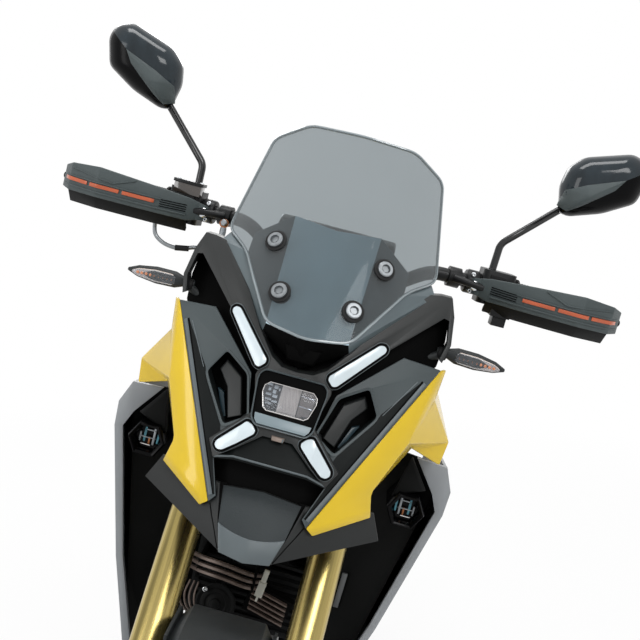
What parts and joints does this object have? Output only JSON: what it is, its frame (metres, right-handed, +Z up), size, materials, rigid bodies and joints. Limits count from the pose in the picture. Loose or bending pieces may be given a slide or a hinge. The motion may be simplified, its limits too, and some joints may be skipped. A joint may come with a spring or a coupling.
{
  "type": "adventure motorcycle",
  "caption": "Tall two-wheeled adventure motorcycle with clear screen, cross-shaped lamp face, hand guards and gold fork, leaning on its side stand.",
  "frame": {"origin": "on the floor under the middle of the parked motorcycle's bounding box", "axes": "+Z up, -Y the way it rides, +X to the rider's left, the side it leans to"},
  "size_m": [0.9288, 2.1257, 1.4625],
  "materials": {
    "black_frame": "satin",
    "black_metal": "satin",
    "black_plastic": "textured",
    "bright_steel": "polished",
    "brushed_pipe": "brushed",
    "chain_steel": "oiled",
    "clear_screen": "clear",
    "gold_anodised": "anodised",
    "grey_metal": "cast",
    "grey_plastic": "satin",
    "lamp_amber": "gloss",
    "lamp_glass": "clear",
    "lamp_red": "gloss",
    "lamp_white": "gloss",
    "rubber": "matt",
    "seat_cover": "grained",
    "steel_disc": "brushed",
    "tyre": "matt",
    "yellow_gloss": "gloss paint"
  },
  "bodies": {
    "chassis": {"frame": "black_frame", "crankcase": "grey_metal", "engine_covers": "black_metal", "cylinder": "black_metal", "cylinder_head": "black_metal", "exhaust_pipe": "brushed_pipe", "silencer": "black_metal", "oil_cooler": "grey_metal", "skid_plate": "grey_metal", "swingarm": "grey_metal", "rear_shock": "black_metal", "footpegs": "black_metal", "fuel_tank": "yellow_gloss", "seat": "seat_cover", "subframe": "black_frame", "tail_cowl": "black_plastic", "rear_rack": "black_metal", "tail_lamp": "lamp_red", "rear_fender": "black_plastic", "rear_caliper": "black_metal", "chain": "chain_steel", "windscreen": "clear_screen", "screen_bolts": "bright_steel", "screen_cowl": "black_plastic", "nose_shell": "black_plastic", "lamp_cross": "black_plastic", "beak": "black_plastic", "side_panels": "yellow_gloss", "shrouds": "grey_plastic", "shroud_inners": "black_plastic", "fog_lamps": "lamp_glass", "headlamp": "lamp_glass", "light_bars": "lamp_white", "winkers": "lamp_amber", "instrument": "black_plastic", "nose_stay": "black_metal"},
    "steering": {"fork_outer_tubes": "gold_anodised", "fork_inner_tubes": "bright_steel", "fork_feet": "grey_metal", "upper_clamp": "black_metal", "lower_clamp": "black_metal", "handlebar": "black_metal", "grips": "rubber", "bar_controls": "black_metal", "hand_guards": "black_plastic", "guard_mounts": "black_metal", "mirror_stems": "black_metal", "mirror_heads": "black_plastic", "front_fender": "black_plastic", "front_caliper": "black_metal"},
    "front_wheel": {"front_tyre": "tyre", "front_rim": "black_metal", "front_disc": "steel_disc"},
    "rear_wheel": {"rear_tyre": "tyre", "rear_rim": "black_metal", "rear_disc": "steel_disc", "rear_sprocket": "steel_disc"},
    "stand": {"side_stand": "black_metal"}
  },
  "joints": [
    {"name": "steering", "type": "hinge", "parent": "chassis", "child": "steering", "pos_m": [-0.07465, -0.42362, 0.84224], "axis": [0.1869, 0.4384, 0.8792], "range_deg": [-36, 36]},
    {"name": "front_wheel_spin", "type": "hinge", "parent": "steering", "child": "front_wheel", "pos_m": [-0.18509, -0.73386, 0.3227], "axis": [0.9781, 0, -0.2079], "continuous": true},
    {"name": "rear_wheel_spin", "type": "hinge", "parent": "chassis", "child": "rear_wheel", "pos_m": [-0.18655, 0.70686, 0.31579], "axis": [0.9781, 0, -0.2079], "continuous": true},
    {"name": "side_stand_fold", "type": "hinge", "parent": "chassis", "child": "stand", "pos_m": [-0.05621, 0.10186, 0.22681], "axis": [0.9613, 0, 0.2756], "range_deg": [0, 100]}
  ]
}
